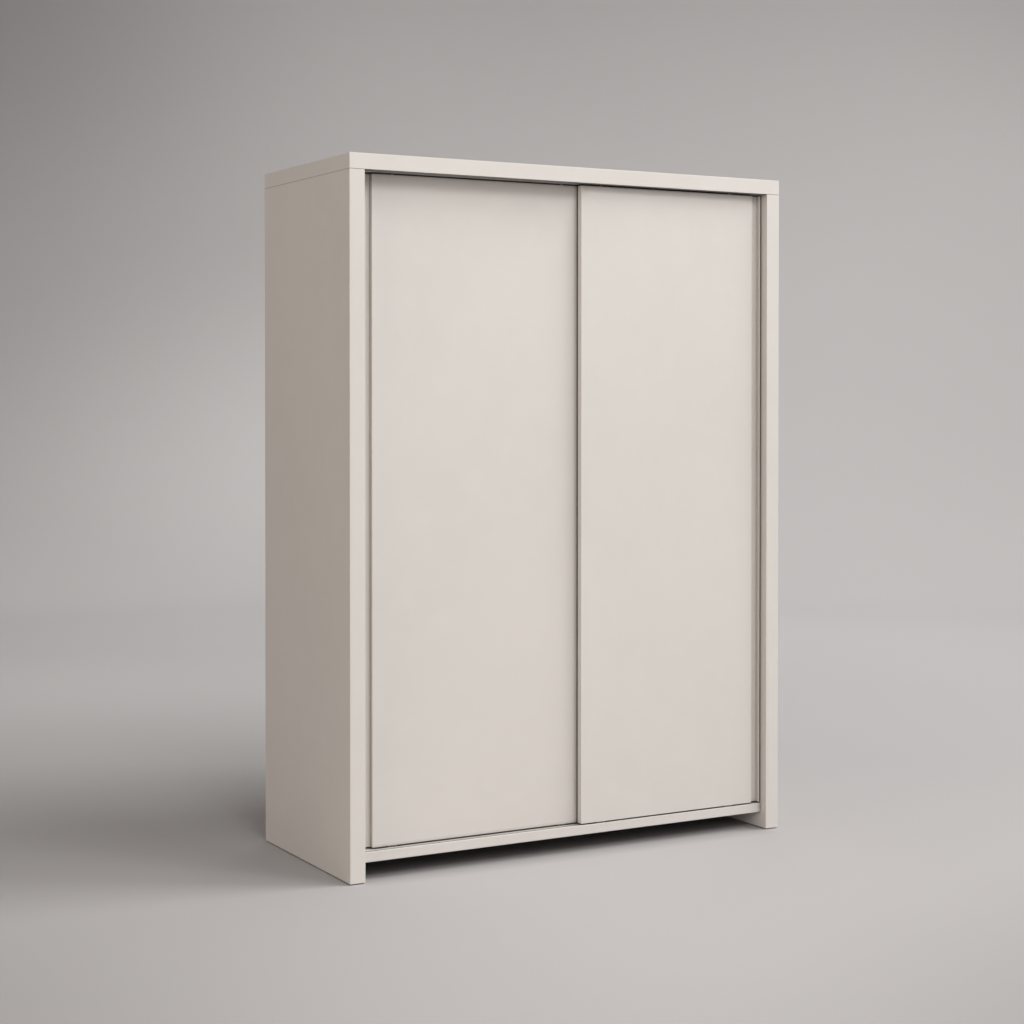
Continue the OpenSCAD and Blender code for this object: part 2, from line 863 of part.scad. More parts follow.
// One ring of the spring's wire for each step along the coil
function spring_ring(a) = [for (k = [0:spring_sides - 1])
    let (b = k * 360 / spring_sides, r = spring_mean_r + spring_wire_r * cos(b))
    [r * cos(a), r * sin(a),
        a / (360 * spring_turns) * (spring_l - 2 * spring_wire_r - rolling)
        + spring_wire_r * (1 + sin(b))]];

module guide_spring(door, i) {
    rings = spring_turns * spring_steps;
    points = [for (s = [0:rings]) each spring_ring(s * 360 / spring_steps)];
    sides = [for (s = [0:rings - 1], k = [0:spring_sides - 1])
        let (n = (k + 1) % spring_sides, a = s * spring_sides)
        [a + k, a + spring_sides + k, a + spring_sides + n, a + n]];
    first = [for (k = [0:spring_sides - 1]) k];
    last = [for (k = [spring_sides - 1:-1:0]) rings * spring_sides + k];
    floor_z = door_h - guide_roof - collar_t - spring_l - rolling;
    color(steel_color) place_hardware(door, [i]) translate([0, 0, floor_z]) {
        polyhedron(points, concat(sides, [first], [last]));
    }
}

module door_screws(door) {
    color(steel_color) place_hardware(door, [0, 1]) {
        roller_flange_screws() flat_screw(small_screw);
        translate([0, 0, door_h]) guide_flange_screws() flat_screw(small_screw);
    }
}

// Brush in a rebate along the front door's inner edge, which closes the air between the doors
module brush_rebate() {
    edge = door_w("right");
    block([edge - brush_back_w - loose / 2, edge + through], [door_t - brush_back_t, door_t + through],
        [-through, door_h + through]);
}

module meeting_brush() {
    edge = door_w("right");
    pile_edge = edge - brush_pile_inset;
    color(dark_color) place_door("right") {
        block([edge - brush_back_w, edge], [door_t - brush_back_t, door_t], [0, door_h]);
        block([pile_edge - brush_pile_w, pile_edge], [door_t - 0.1, door_t + brush_pile_h], [0, door_h]);
    }
}

side_panel(-1);  // side_panel_left
side_panel(1);  // side_panel_right
top_panel();
bottom_panel();
centre_partition();
back_panel(-1);  // back_panel_left
back_panel(1);  // back_panel_right
back_joint_profile();
shelf(-1, hat_shelf_z);  // hat_shelf_left
shelf(1, hat_shelf_z);  // hat_shelf_right
shelf(1, shelf_z[0]);  // shelf_1
shelf(1, shelf_z[1]);  // shelf_2
shelf(1, shelf_z[2]);  // shelf_3
shelf(1, shelf_z[3]);  // shelf_4
shelf_pins();
hanging_rail();
rail_bracket_left();
rail_bracket_right();
rail_bracket_screws();
top_track();
bottom_track();
top_track_screws();
bottom_track_screws();
door_buffers();
floor_glides();
wall_bracket(-1);  // wall_bracket_left
wall_bracket(1);  // wall_bracket_right
wall_bracket_screws();
cam_locks();
cam_bolts();
cam_cover_caps();
wooden_dowels();
door_panel("left");  // left_door_panel
grip_profile("left");  // left_grip_profile
roller_housings("left");  // left_roller_housings
roller_axles("left");  // left_roller_axles
roller("left", 0);  // left_outer_roller
roller("left", 1);  // left_inner_roller
guide_housings("left");  // left_guide_housings
guide_pin("left", 0);  // left_outer_pin
guide_pin("left", 1);  // left_inner_pin
guide_spring("left", 0);  // left_outer_spring
guide_spring("left", 1);  // left_inner_spring
door_screws("left");  // left_door_screws
door_panel("right");  // right_door_panel
grip_profile("right");  // right_grip_profile
roller_housings("right");  // right_roller_housings
roller_axles("right");  // right_roller_axles
roller("right", 0);  // right_outer_roller
roller("right", 1);  // right_inner_roller
guide_housings("right");  // right_guide_housings
guide_pin("right", 0);  // right_outer_pin
guide_pin("right", 1);  // right_inner_pin
guide_spring("right", 0);  // right_outer_spring
guide_spring("right", 1);  // right_inner_spring
door_screws("right");  // right_door_screws
meeting_brush();
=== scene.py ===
"""Sliding door wardrobe: finishes, rounded edges, brush bristles, studio and camera."""
import math
import random

import bpy
import bmesh
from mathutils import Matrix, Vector


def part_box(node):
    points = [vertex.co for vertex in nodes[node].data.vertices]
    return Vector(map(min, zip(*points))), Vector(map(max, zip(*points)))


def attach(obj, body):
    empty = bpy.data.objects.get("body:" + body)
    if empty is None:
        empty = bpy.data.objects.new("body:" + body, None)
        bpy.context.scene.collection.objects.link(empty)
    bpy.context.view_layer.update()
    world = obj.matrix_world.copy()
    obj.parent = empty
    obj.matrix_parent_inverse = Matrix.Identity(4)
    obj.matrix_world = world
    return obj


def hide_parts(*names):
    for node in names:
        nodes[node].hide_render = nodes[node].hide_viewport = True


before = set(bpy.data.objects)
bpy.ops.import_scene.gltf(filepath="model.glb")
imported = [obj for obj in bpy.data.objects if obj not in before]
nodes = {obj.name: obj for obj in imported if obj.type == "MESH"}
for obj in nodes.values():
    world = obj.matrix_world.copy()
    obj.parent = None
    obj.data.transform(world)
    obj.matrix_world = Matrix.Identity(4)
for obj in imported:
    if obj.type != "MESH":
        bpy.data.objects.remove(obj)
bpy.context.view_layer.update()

MM = 0.001
scene = bpy.context.scene


# ---------------------------------------------------------------- finishes


# The Mix node's colour sockets, which share their names with its number sockets.
COLOUR_A, COLOUR_B, COLOUR_OUT = 6, 7, 2
# Heights over the floor between which the painted crevice shade sets in.
OFF_FLOOR = (20 * MM, 45 * MM)
# Distances from a board joint at which its line of shadow starts and is full.
SEAM = (0.9 * MM, 0.3 * MM)


class Finish:
    """A Principled material and the node chains that vary it over the surface.

    Patterns are placed by object coordinates, in metres, so they keep the same scale
    on every piece and travel with the doors.
    """

    def __init__(self, name, colour, roughness, metallic=0.0, specular=0.5):
        self.material = bpy.data.materials.new(name)
        self.material.use_nodes = True
        self.tree = self.material.node_tree
        self.shader = self.tree.nodes["Principled BSDF"]
        base = self.put("ShaderNodeRGB")
        base.outputs[0].default_value = (*colour, 1)
        self.colour = base.outputs[0]
        self.roughness = roughness
        self.feed(self.shader, Metallic=metallic, Specular_IOR_Level=specular)
        self.place = self.put("ShaderNodeTexCoord").outputs["Object"]
        self.height = None

    def put(self, kind, **settings):
        node = self.tree.nodes.new(kind)
        for key, value in settings.items():
            setattr(node, key, value)
        return node

    def join(self, socket, value):
        """Links another node's output to an input, or sets the input to a plain value."""
        if isinstance(value, bpy.types.NodeSocket):
            self.tree.links.new(value, socket)
        else:
            socket.default_value = value

    def feed(self, node, **inputs):
        """Joins inputs, named as Blender names them, with _ for a space."""
        for key, value in inputs.items():
            self.join(node.inputs[key.replace("_", " ")], value)
        return node

    def maths(self, operation, a, b=0.0, clamp=False):
        node = self.put("ShaderNodeMath", operation=operation, use_clamp=clamp)
        self.join(node.inputs[0], a)
        self.join(node.inputs[1], b)
        return node.outputs[0]

    def vector(self, operation, a, b=(0, 0, 0)):
        node = self.put("ShaderNodeVectorMath", operation=operation)
        self.join(node.inputs[0], a)
        self.join(node.inputs[1], b)
        return node.outputs["Value" if operation in ("LENGTH", "DOT_PRODUCT") else "Vector"]

    def spread(self, value, low, high):
        """value's range low to high, stretched to 0 to 1 and kept inside it."""
        node = self.put("ShaderNodeMapRange")
        self.feed(node, Value=value, From_Min=low, From_Max=high)
        return node.outputs[0]

    def grid(self, size, stretch=(1, 1, 1), shift=0.0):
        """The place on the piece, counted in steps of size metres and moved by shift."""
        place = self.put("ShaderNodeMapping")
        scale = [1 / (size * s) for s in stretch]
        self.feed(place, Vector=self.place, Scale=scale, Location=(shift, shift * 0.7, shift * 1.3))
        return place.outputs[0]

    def noise(self, size, stretch=(1, 1, 1), detail=2.0, shift=0.0):
        """Soft random values around 0.5, in grains about size metres across."""
        noise = self.put("ShaderNodeTexNoise")
        place = self.grid(size, stretch, shift)
        self.feed(noise, Vector=place, Scale=1.0, Detail=detail, Roughness=0.55)
        return noise.outputs["Fac"]

    def cells(self, size):
        """Distance to the nearest of scattered points about size metres apart."""
        cells = self.put("ShaderNodeTexVoronoi")
        self.feed(cells, Vector=self.grid(size), Scale=1.0)
        return cells.outputs["Distance"]

    def axis(self, letter):
        parts = self.put("ShaderNodeSeparateXYZ")
        self.feed(parts, Vector=self.place)
        return parts.outputs[letter]

    def blend(self, kind, factor, colour):
        mix = self.put("ShaderNodeMix", data_type="RGBA", blend_type=kind)
        self.feed(mix, Factor=factor)
        self.join(mix.inputs[COLOUR_A], self.colour)
        self.join(mix.inputs[COLOUR_B], (*colour, 1))
        self.colour = mix.outputs[COLOUR_OUT]

    def tint(self, factor, colour, strength=1.0):
        """Blends towards another colour where factor is high."""
        self.blend("MIX", self.maths("MULTIPLY", factor, strength, clamp=True), colour)

    def shade_by(self, factor, shade, warmth=1.0):
        """Multiplies the colour by shade where factor is high; warmth below 1 browns it."""
        self.blend("MULTIPLY", factor, (shade, shade * warmth, shade * warmth**2))

    def matt(self, factor, amount):
        """Adds amount to the roughness where factor is high."""
        self.roughness = self.maths("ADD", self.maths("MULTIPLY", factor, amount), self.roughness)

    def raise_by(self, factor, height):
        """Adds relief, height metres tall where factor is 1."""
        step = self.maths("MULTIPLY", factor, height)
        self.height = step if self.height is None else self.maths("ADD", self.height, step)

    def edges(self, radius):
        """1 along outer and inner edges, 0 on flat faces."""
        bevel = self.put("ShaderNodeBevel", samples=4)
        self.feed(bevel, Radius=radius)
        geometry = self.put("ShaderNodeNewGeometry")
        likeness = self.vector("DOT_PRODUCT", bevel.outputs[0], geometry.outputs["True Normal"])
        return self.spread(likeness, 1.0, 0.9)

    def painted_crevice_shade(self, reach, shade):
        """Paints shade into narrow gaps and inner corners, where ambient occlusion finds them enclosed,
        but not into the gap over the floor.
        """
        occlusion = self.put("ShaderNodeAmbientOcclusion", samples=4)
        self.feed(occlusion, Distance=reach)
        enclosed = self.spread(occlusion.outputs["AO"], 0.92, 0.2)
        off_floor = self.spread(self.axis("Z"), *OFF_FLOOR)
        self.shade_by(self.maths("MULTIPLY", enclosed, off_floor), shade, warmth=0.92)

    def done(self):
        bump = self.put("ShaderNodeBump")
        self.feed(bump, Height=self.height, Distance=1.0, Strength=1.0)
        roughness = self.maths("ADD", self.roughness, 0.0, clamp=True)
        self.feed(self.shader, Base_Color=self.colour, Roughness=roughness, Normal=bump.outputs[0])
        return self.material


def lacquer(name, colour, roughness, painted_crevice_shade, joint=None):
    """Sprayed satin lacquer: faint clouds, orange peel, and edges rubbed a little paler.

    Gaps narrower than the painted crevice shade's reach get painted shade, darker by its shade factor.
    At the height joint, where two boards meet, the seam holds a thin line of shadow.
    """
    f = Finish(name, colour, roughness, specular=0.4)
    f.tint(f.spread(f.noise(0.55, detail=3), 0.35, 0.7), [c * 0.965 for c in colour])
    f.tint(f.spread(f.noise(0.09, detail=4, shift=3), 0.45, 0.75), [c * 1.02 for c in colour], 0.5)
    f.tint(f.spread(f.noise(0.0022, shift=7), 0.6, 0.8), [c * 0.93 for c in colour], 0.35)
    wear = f.maths("MULTIPLY", f.edges(1.2 * MM), f.spread(f.noise(0.03, shift=5), 0.35, 0.65))
    f.tint(wear, [min(1, c * 1.08) for c in colour], 0.6)
    f.matt(f.spread(f.noise(0.18, detail=4, shift=9), 0.35, 0.7), 0.07)
    f.matt(wear, -0.06)
    f.raise_by(f.noise(0.0035, detail=1), 0.012 * MM)
    f.raise_by(f.noise(0.0007, shift=2), 0.003 * MM)
    if joint is not None:
        beside = f.maths("ABSOLUTE", f.maths("SUBTRACT", f.axis("Z"), joint))
        f.tint(f.spread(beside, *SEAM), [c * 0.25 for c in colour], 0.9)
    f.painted_crevice_shade(*painted_crevice_shade)
    return f.done()


def melamine(name, colour):
    """Melamine board: pearl emboss, scattered specks and paler edges."""
    f = Finish(name, colour, 0.5, specular=0.45)
    f.tint(f.spread(f.noise(0.4, detail=3), 0.4, 0.7), [c * 0.97 for c in colour])
    f.tint(f.spread(f.noise(0.0016, detail=3), 0.62, 0.72), [c * 0.86 for c in colour], 0.5)
    wear = f.edges(0.9 * MM)
    f.tint(wear, [min(1, c * 1.06) for c in colour], 0.5)
    f.matt(f.noise(0.05, detail=3), 0.12)
    f.raise_by(f.cells(0.0011), 0.02 * MM)
    return f.done()


def wire(name, colour, roughness):
    """Drawn steel wire: a fine grain in its colour, shine and relief, and duller patches."""
    f = Finish(name, colour, roughness, metallic=1.0)
    grain = f.noise(0.0004, detail=3)
    f.tint(f.spread(grain, 0.4, 0.7), [c * 0.86 for c in colour], 0.6)
    f.tint(f.spread(f.noise(0.06, detail=4, shift=4), 0.45, 0.75), [c * 0.9 for c in colour], 0.5)
    f.matt(grain, 0.16)
    f.matt(f.spread(f.noise(0.02, detail=4, shift=6), 0.5, 0.8), 0.12)
    f.raise_by(grain, 0.002 * MM)
    return f.done()


def coated_metal(name, colour, roughness):
    """Powder-coated extrusion: a sandy skin over faint draw lines, rubbed bare on its lips."""
    f = Finish(name, colour, roughness, specular=0.45)
    f.tint(f.spread(f.noise(0.05, (6, 1, 1), detail=4), 0.4, 0.7), [c * 0.93 for c in colour])
    f.tint(f.spread(f.noise(0.0011, detail=2, shift=3), 0.58, 0.75), [c * 0.82 for c in colour], 0.5)
    rubbed = f.spread(f.noise(0.012, (8, 1, 1), shift=6), 0.45, 0.6)
    f.tint(f.maths("MULTIPLY", f.edges(0.5 * MM), rubbed), BARE_METAL, 0.55)
    f.matt(f.noise(0.02, (5, 1, 1), detail=3), 0.14)
    f.raise_by(f.noise(0.0006, (150, 1, 1), detail=2), 0.004 * MM)
    f.raise_by(f.noise(0.0005, detail=2, shift=2), 0.008 * MM)
    # Painted shade: the track's channels and the gaps under the doors are painted darker where they are
    # enclosed.
    f.painted_crevice_shade(12 * MM, 0.12)
    return f.done()


def cast_metal(name, colour, roughness, grain=0.0006):
    """Die-cast or zinc-plated metal: crystalline mottling and a fine grainy skin."""
    f = Finish(name, colour, roughness, metallic=1.0)
    f.tint(f.spread(f.cells(0.004), 0.2, 0.7), [c * 0.8 for c in colour], 0.45)
    f.tint(f.edges(0.4 * MM), [min(1, c * 1.15) for c in colour], 0.5)
    f.matt(f.noise(0.003, detail=4), 0.2)
    f.raise_by(f.noise(grain, detail=3), 0.01 * MM)
    return f.done()


def moulded(name, colour, roughness, dust=0.0, specular=0.5):
    """Moulded plastic or rubber: spark-eroded texture, a painted sheen on the edges where handling
    polishes them, dust.
    """
    f = Finish(name, colour, roughness, specular=specular)
    f.tint(f.spread(f.noise(0.03, detail=4), 0.4, 0.7), [c * 0.88 for c in colour], 0.7)
    specks = f.spread(f.noise(0.0009, detail=2, shift=3), 0.58, 0.75)
    f.tint(specks, [0.45 + c * 0.4 for c in colour], dust)
    # Painted sheen: the edges are painted paler where handling polishes them.
    f.tint(f.edges(0.5 * MM), [min(1, c * 1.2 + 0.01) for c in colour], 0.5)
    f.matt(f.noise(0.01, detail=4, shift=5), 0.14)
    f.raise_by(f.noise(0.00035, detail=2), 0.006 * MM)
    return f.done()


def chrome(name):
    """Chromed tube: hangers leave fine rings across it, hands leave soft smears."""
    f = Finish(name, (0.78, 0.785, 0.8), 0.07, metallic=1.0)
    rings = f.spread(f.noise(0.0008, (1, 400, 400), detail=3), 0.55, 0.75)
    f.tint(rings, (0.6, 0.6, 0.61), 0.4)
    f.matt(rings, 0.14)
    f.matt(f.spread(f.noise(0.04, detail=4, shift=5), 0.5, 0.75), 0.1)
    f.raise_by(rings, -0.002 * MM)
    return f.done()


def hardboard(name, front, back, split):
    """Back board: lacquered on the room side, raw brown fibre on the wall side."""
    f = Finish(name, front, 0.5, specular=0.4)
    f.tint(f.spread(f.noise(0.3, detail=3), 0.4, 0.7), [c * 0.96 for c in front])
    raw = f.maths("GREATER_THAN", f.axis("Y"), split)
    f.tint(raw, back)
    fibre = f.noise(0.0035, (2.2, 1, 1), detail=5, shift=4)
    f.tint(f.maths("MULTIPLY", raw, f.spread(fibre, 0.45, 0.7)), [c * 0.72 for c in back], 0.8)
    cloud = f.noise(0.12, detail=4, shift=8)
    f.tint(f.maths("MULTIPLY", raw, f.spread(cloud, 0.45, 0.75)), [c * 1.22 for c in back], 0.5)
    f.matt(raw, 0.28)
    f.raise_by(f.noise(0.0009, detail=3), 0.012 * MM)
    return f.done()


def beech(name):
    """Dowel wood: rays and pores drawn out along the dowel."""
    pale = (0.58, 0.38, 0.22)
    f = Finish(name, pale, 0.6, specular=0.35)
    f.tint(f.spread(f.noise(0.0006, (1, 1, 22), detail=4), 0.45, 0.7), [c * 0.62 for c in pale], 0.8)
    f.tint(f.spread(f.noise(0.006, (1, 1, 5), shift=3), 0.4, 0.7), [c * 1.2 for c in pale], 0.5)
    f.matt(f.noise(0.001, (1, 1, 10)), 0.15)
    f.raise_by(f.noise(0.0004, (1, 1, 15), detail=3), 0.03 * MM)
    return f.done()


SHELL = (0.613, 0.577, 0.542)
INSIDE = (0.640, 0.605, 0.560)
BARE_METAL = (0.66, 0.66, 0.66)
BACK_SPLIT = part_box("back_panel_left")[1].y - 0.5 * MM
TOP_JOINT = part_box("side_panel_left")[1].z

finishes = {
    # Each lacquer's painted crevice shade: its reach and its shade factor.
    "shell_lacquer": lacquer("shell_lacquer", SHELL, 0.42, (14 * MM, 0.35), TOP_JOINT),
    "grip_lacquer": lacquer("grip_lacquer", SHELL, 0.38, (7 * MM, 0.75)),
    "inner_melamine": melamine("inner_melamine", INSIDE),
    "back_board": hardboard("back_board", INSIDE, (0.235, 0.145, 0.082), BACK_SPLIT),
    "joint_plastic": moulded("joint_plastic", (0.62, 0.6, 0.57), 0.4),
    "track_aluminium": coated_metal("track_aluminium", [c * 0.92 for c in SHELL], 0.42),
    "rail_chrome": chrome("rail_chrome"),
    "bracket_zinc": cast_metal("bracket_zinc", (0.66, 0.67, 0.69), 0.3),
    "screw_steel": cast_metal("screw_steel", (0.6, 0.6, 0.62), 0.26, grain=0.0003),
    "cam_zinc": cast_metal("cam_zinc", (0.48, 0.48, 0.5), 0.42),
    "dowel_beech": beech("dowel_beech"),
    "buffer_rubber": moulded("buffer_rubber", (0.045, 0.045, 0.047), 0.7, dust=0.25, specular=0.3),
    "glide_plastic": moulded("glide_plastic", (0.03, 0.028, 0.027), 0.5, dust=0.3),
    "brush_pile": moulded("brush_pile", (0.07, 0.066, 0.062), 0.85, dust=0.2, specular=0.2),
    "housing_plastic": moulded("housing_plastic", (0.09, 0.09, 0.095), 0.42, dust=0.1),
    "roller_nylon": moulded("roller_nylon", (0.66, 0.64, 0.58), 0.35, dust=0.05),
    "spring_steel": wire("spring_steel", (0.5, 0.5, 0.52), 0.28),
}

for node in nodes.values():
    for slot in node.material_slots:
        slot.material = finishes[slot.material.name.split(".")[0]]


# ---------------------------------------------------------------- rounded edges


SAME_PLACE, ON_BOX = 0.001 * MM, 0.02 * MM
SAME_PLANE, SHARP = math.radians(1), math.radians(40)
EDGE_SEGMENTS = 3


def faces_touched(point, low, high):
    """How many directions of a box the point is at the end of: 1 on a face, 2 on an edge."""
    ends = [min(abs(point[i] - low[i]), abs(point[i] - high[i])) for i in range(3)]
    return sum(end < ON_BOX for end in ends)


def soften(name, radius, outer_only=True):
    """Rounds a board's edges; its own mesh stays as it is, under the modifiers.

    With outer_only, just the edges of the board's outline are rounded, not its drilled holes.
    """
    board = nodes[name]
    weld = board.modifiers.new("weld", "WELD")
    weld.merge_threshold = SAME_PLACE
    flat = board.modifiers.new("flat faces", "DECIMATE")
    flat.decimate_type = "DISSOLVE"
    flat.angle_limit = SAME_PLANE
    round_over = board.modifiers.new("rounded edges", "BEVEL")
    round_over.width = radius
    round_over.segments = EDGE_SEGMENTS
    round_over.use_clamp_overlap = False
    round_over.harden_normals = True
    if outer_only:
        low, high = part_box(name)
        outline = board.vertex_groups.new(name="outline")
        on_edge = [v.index for v in board.data.vertices if faces_touched(v.co, low, high) >= 2]
        outline.add(on_edge, 1.0, "REPLACE")
        round_over.limit_method = "VGROUP"
        round_over.vertex_group = outline.name
    else:
        round_over.limit_method = "ANGLE"
        round_over.angle_limit = SHARP


SHELL_BOARDS = ("side_panel_left", "side_panel_right", "top_panel", "bottom_panel")
INNER_BOARDS = (
    "centre_partition", "hat_shelf_left", "hat_shelf_right", "shelf_1", "shelf_2", "shelf_3", "shelf_4",
)
SHELL_ROUND, DOOR_ROUND, GRIP_ROUND, INNER_ROUND = 1.3 * MM, 1.0 * MM, 0.5 * MM, 0.8 * MM

for name in SHELL_BOARDS:
    soften(name, SHELL_ROUND)
for side in ("left", "right"):
    soften(side + "_door_panel", DOOR_ROUND)
    soften(side + "_grip_profile", GRIP_ROUND, outer_only=False)
for name in INNER_BOARDS:
    soften(name, INNER_ROUND)


# ---------------------------------------------------------------- brush between the doors


BRUSH_BACK = 1.5 * MM           # thickness of the brush's back strip
BRUSH_LIP, BRUSH_RISE = 0.9 * MM, 0.35 * MM   # the rib on it that holds the pile
PILE_INSET = 2.0 * MM           # from the door's edge to the middle of the pile
TUFT_ROWS = (-1.0 * MM, 0.0, 1.0 * MM)
TUFT_STEP = 1.3 * MM            # between tufts in a row
TUFT_ROOT, TUFT_TIP = 0.65 * MM, 0.55   # a root's half diagonal, and the tip's share of it
TUFT_SINK = 0.1 * MM            # how deep a tuft stands in the rib


def add_bar(mesh, near, far):
    """A closed bar between two rings with the same number of corners."""
    mesh.faces.new(near[::-1])
    mesh.faces.new(far)
    for i in range(len(near)):
        after = (i + 1) % len(near)
        mesh.faces.new((near[i], near[after], far[after], far[i]))


def brush_strip():
    """The door brush as a ribbed back strip and rows of separate, slightly unruly tufts."""
    low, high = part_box("meeting_brush")
    back_y = low.y + BRUSH_BACK
    rib_y = back_y - BRUSH_RISE
    mid_x, half = (low.x + high.x) / 2, (high.x - low.x) / 2
    chance = random.Random(7)
    mesh = bmesh.new()

    outline = [
        (-half, low.y), (half, low.y), (half, back_y), (half - BRUSH_LIP, back_y),
        (half - 2 * BRUSH_LIP, rib_y), (-half + 2 * BRUSH_LIP, rib_y),
        (-half + BRUSH_LIP, back_y), (-half, back_y),
    ]
    foot = [mesh.verts.new((mid_x + x, y, low.z)) for x, y in outline]
    head = [mesh.verts.new((mid_x + x, y, high.z)) for x, y in outline]
    add_bar(mesh, foot, head)

    corners = []
    for corner in range(4):
        a = math.pi / 4 + math.pi / 2 * corner
        corners.append((TUFT_ROOT * math.cos(a), TUFT_ROOT * math.sin(a)))
    for row in TUFT_ROWS:
        x = low.x + PILE_INSET + row
        for i in range(int((high.z - low.z) / TUFT_STEP)):
            z = low.z + (i + 0.5 + chance.uniform(-0.15, 0.15)) * TUFT_STEP
            tip_y = high.y - chance.uniform(0, 0.35) * MM
            tip_x = x + row * 0.25 + chance.uniform(-0.25, 0.25) * MM
            tip_z = z + chance.uniform(-0.3, 0.3) * MM
            root, tip = [], []
            for dx, dz in corners:
                root.append(mesh.verts.new((x + dx, rib_y - TUFT_SINK, z + dz)))
            for dx, dz in corners:
                end_z = min(max(tip_z + dz * TUFT_TIP, low.z), high.z)
                tip.append(mesh.verts.new((tip_x + dx * TUFT_TIP, tip_y, end_z)))
            add_bar(mesh, root, tip)
    bmesh.ops.recalc_face_normals(mesh, faces=mesh.faces)
    data = bpy.data.meshes.new("meeting_brush_tufts")
    mesh.to_mesh(data)
    mesh.free()
    strip = bpy.data.objects.new("meeting_brush_tufts", data)
    scene.collection.objects.link(strip)
    data.materials.append(finishes["brush_pile"])
    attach(strip, "right_door")
    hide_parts("meeting_brush")


brush_strip()


# ---------------------------------------------------------------- studio

STAGE_COLOUR = (0.416, 0.400, 0.396)
# The painted shadow on the paper under the wardrobe, and where it starts and is full: to either side of
# the middle, at the front and at the back.
UNDER_SHADE = 0.5
UNDER_SIDE, UNDER_FRONT, UNDER_BACK = (0.70, 0.66), (-0.36, -0.16), (0.30, 0.20)
SKY_COLOUR, SKY_STRENGTH = (1.0, 0.985, 0.98, 1), 0.125
CAMERA_TURN, CAMERA_TILT = math.radians(29.25), math.radians(0.81)
AHEAD = Vector((math.sin(CAMERA_TURN), math.cos(CAMERA_TURN), 0))
ASIDE = Vector((AHEAD.y, -AHEAD.x, 0))
UP = Vector((0, 0, 1))


def studio_place(ahead, aside, up):
    """A point given as seen from the camera: further away, to the right, and up, from the
    middle of the wardrobe's foot."""
    return AHEAD * ahead + ASIDE * aside + UP * up


# Painted light and shade on the studio paper, in soft patches: the centre and the reach in metres to
# the camera's right, away from it and up, and how much the patch brightens or darkens the paper.
PAINTED_LIGHT_AND_SHADE_PATCHES = (
    ((0.2, -1.1, 0.0), (1.3, 1.7, 2.0), 1.09),
    ((0.0, 4.3, 0.0), (30.0, 2.8, 1.2), 0.92),
    ((-3.0, 6.0, 0.0), (4.0, 2.0, 0.8), 1.08),
    ((-2.4, -2.6, 0.0), (2.4, 2.6, 2.0), 0.51),
    ((2.4, -2.6, 0.0), (2.4, 2.6, 2.0), 0.51),
    ((-5.5, 10.0, 2.4), (5.0, 6.0, 6.0), 0.68),
    ((0.6, 10.4, 6.5), (9.0, 6.0, 4.5), 0.77),
    ((5.5, 9.5, 0.0), (4.0, 7.0, 4.0), 0.90),
    ((-2.0, 9.0, 0.8), (3.0, 4.0, 2.0), 1.20),
    ((-5.0, 10.0, 5.0), (4.0, 6.0, 3.0), 0.70),
    ((5.5, 10.4, 5.5), (3.0, 6.0, 3.0), 0.75),
)


FLOOR_RADIUS, CURVE_RADIUS, WALL_HEIGHT = 6.4, 4.0, 9.0
BOWL_SIDES, CURVE_STEPS = 160, 24


def studio_bowl():
    """A round floor that curves up into a wall all the way round, seamless from any side."""
    profile = [(FLOOR_RADIUS * 0.5, 0.0)]
    for step in range(CURVE_STEPS + 1):
        turn = math.pi / 2 * step / CURVE_STEPS
        radius = FLOOR_RADIUS + CURVE_RADIUS * math.sin(turn)
        profile.append((radius, CURVE_RADIUS * (1 - math.cos(turn))))
    profile.append((FLOOR_RADIUS + CURVE_RADIUS, WALL_HEIGHT))
    mesh = bmesh.new()
    centre = mesh.verts.new((0, 0, 0))
    rings = []
    for radius, height in profile:
        ring = []
        for side in range(BOWL_SIDES):
            angle = 2 * math.pi * side / BOWL_SIDES
            ring.append(mesh.verts.new((radius * math.cos(angle), radius * math.sin(angle), height)))
        rings.append(ring)
    for side in range(BOWL_SIDES):
        after = (side + 1) % BOWL_SIDES
        mesh.faces.new((centre, rings[0][side], rings[0][after]))
        for lower, upper in zip(rings, rings[1:]):
            mesh.faces.new((lower[side], upper[side], upper[after], lower[after]))
    for face in mesh.faces:
        face.smooth = True
    data = bpy.data.meshes.new("studio_bowl")
    mesh.to_mesh(data)
    mesh.free()
    data.materials.append(studio_paper())
    bowl = bpy.data.objects.new("studio_bowl", data)
    scene.collection.objects.link(bowl)


def studio_paper():
    """Matt grey paper with painted light and shade: wide soft patches painted paler or darker, and a
    painted shadow under the wardrobe.
    """
    f = Finish("studio_paper", STAGE_COLOUR, 0.9, specular=0.1)
    f.tint(f.spread(f.noise(2.5, detail=3), 0.4, 0.7), [c * 0.985 for c in STAGE_COLOUR])
    turned = f.put("ShaderNodeVectorRotate", rotation_type="Z_AXIS")
    f.feed(turned, Vector=f.place, Angle=CAMERA_TURN)
    # Each patch paints light or shade onto the paper.
    for centre, reach, shade in PAINTED_LIGHT_AND_SHADE_PATCHES:
        offset = f.vector("SUBTRACT", turned.outputs[0], centre)
        distance = f.vector("LENGTH", f.vector("DIVIDE", offset, reach))
        patch = f.spread(distance, 1.0, 0.0)
        patch.node.interpolation_type = "SMOOTHSTEP"
        f.shade_by(patch, shade)
    # Painted shadow: the paper under the wardrobe is painted darker.
    across = f.spread(f.maths("ABSOLUTE", f.axis("X")), *UNDER_SIDE)
    behind_front = f.spread(f.axis("Y"), *UNDER_FRONT)
    before_back = f.spread(f.axis("Y"), *UNDER_BACK)
    under = f.maths("MULTIPLY", across, f.maths("MULTIPLY", behind_front, before_back))
    f.shade_by(under, UNDER_SHADE)
    f.raise_by(f.noise(0.004, detail=3), 0.02 * MM)
    return f.done()


studio_bowl()

scene.view_settings.view_transform = "Standard"

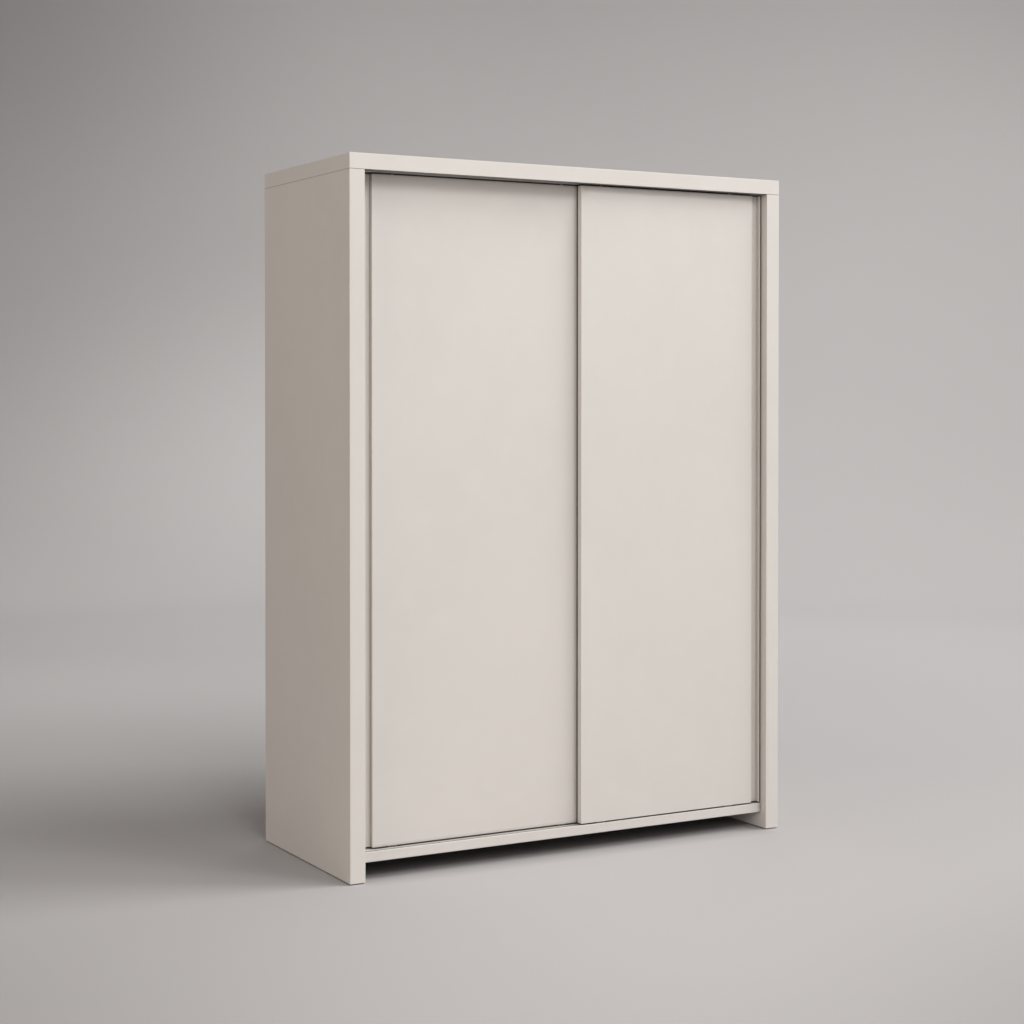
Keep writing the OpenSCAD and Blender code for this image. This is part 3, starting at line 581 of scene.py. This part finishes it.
world = bpy.data.worlds.new("studio")
world.use_nodes = True
background = world.node_tree.nodes["Background"]
background.inputs["Color"].default_value = SKY_COLOUR
background.inputs["Strength"].default_value = SKY_STRENGTH
scene.world = world


MIDDLE = Vector((0, 0, 1.0))
WARM = (1.0, 0.912, 0.797)


def softbox(name, place, aim, size, power, colour=(1, 1, 1)):
    """A square soft light at a place, shining at a point."""
    light = bpy.data.lights.new(name, "AREA")
    light.size = size
    light.energy = power
    light.color = colour
    lamp = bpy.data.objects.new(name, light)
    lamp.location = place
    lamp.rotation_euler = (Vector(place) - Vector(aim)).to_track_quat("Z", "Y").to_euler()
    lamp.visible_camera = False
    scene.collection.objects.link(lamp)


def around(azimuth, elevation, distance):
    """A place round the wardrobe's middle: azimuth 0 is in front of it and 90 on its right."""
    a, e = math.radians(azimuth), math.radians(elevation)
    away = Vector((math.sin(a) * math.cos(e), -math.cos(a) * math.cos(e), math.sin(e)))
    return MIDDLE + away * distance


# Each softbox: its place, where it shines, its side in metres and its power in watts.
softbox("front_right", around(25, 32, 12.0), MIDDLE, 4.5, 475)
softbox("key", around(40, 45, 12.0), MIDDLE, 4.5, 329)
softbox("side_high", around(65, 50, 8.0), MIDDLE, 2.9, 405)
softbox("front_low", around(-20, 22, 9.0), MIDDLE, 3.6, 141)
softbox("front_high", around(-10, 36, 12.0), MIDDLE, 4.5, 373)
softbox("left_low", around(-70, 7, 7.0), MIDDLE, 3.0, 86, WARM)
softbox("left_high", around(-80, 28, 5.5), MIDDLE, 2.0, 16, WARM)
softbox("wall_right", studio_place(4.5, 3.0, 4.4), studio_place(9.5, 3.5, 0.5), 3.0, 91)
softbox("wall_middle", studio_place(4.0, 0, 4.6), studio_place(9.0, 0.5, 0.5), 3.0, 19)
softbox("wall_left", studio_place(4.5, -3.0, 4.2), studio_place(8.5, -3.0, 0), 2.5, 18)
softbox("wall_top", studio_place(5.0, 0.5, 5.5), studio_place(7.0, 0.5, 0), 3.0, 95)
softbox("floor_left", studio_place(2.8, -1.8, 3.0), studio_place(5.5, -2.4, 0), 2.0, 22)

# The photograph's camera: its place, and its direction as a turn to the right and a tilt down.
CAMERA_PLACE = (-2.921, -5.114, 1.337)
LENS, SENSOR = 68.1, 36
SHIFT_X, SHIFT_Y = 0.0027, -0.0865
camera = bpy.data.objects.new("camera", bpy.data.cameras.new("camera"))
camera.data.lens = LENS
camera.data.sensor_width = SENSOR
camera.data.shift_x, camera.data.shift_y = SHIFT_X, SHIFT_Y
camera.location = CAMERA_PLACE
camera.rotation_euler = (math.pi / 2 - CAMERA_TILT, 0, -CAMERA_TURN)
scene.collection.objects.link(camera)
scene.camera = camera
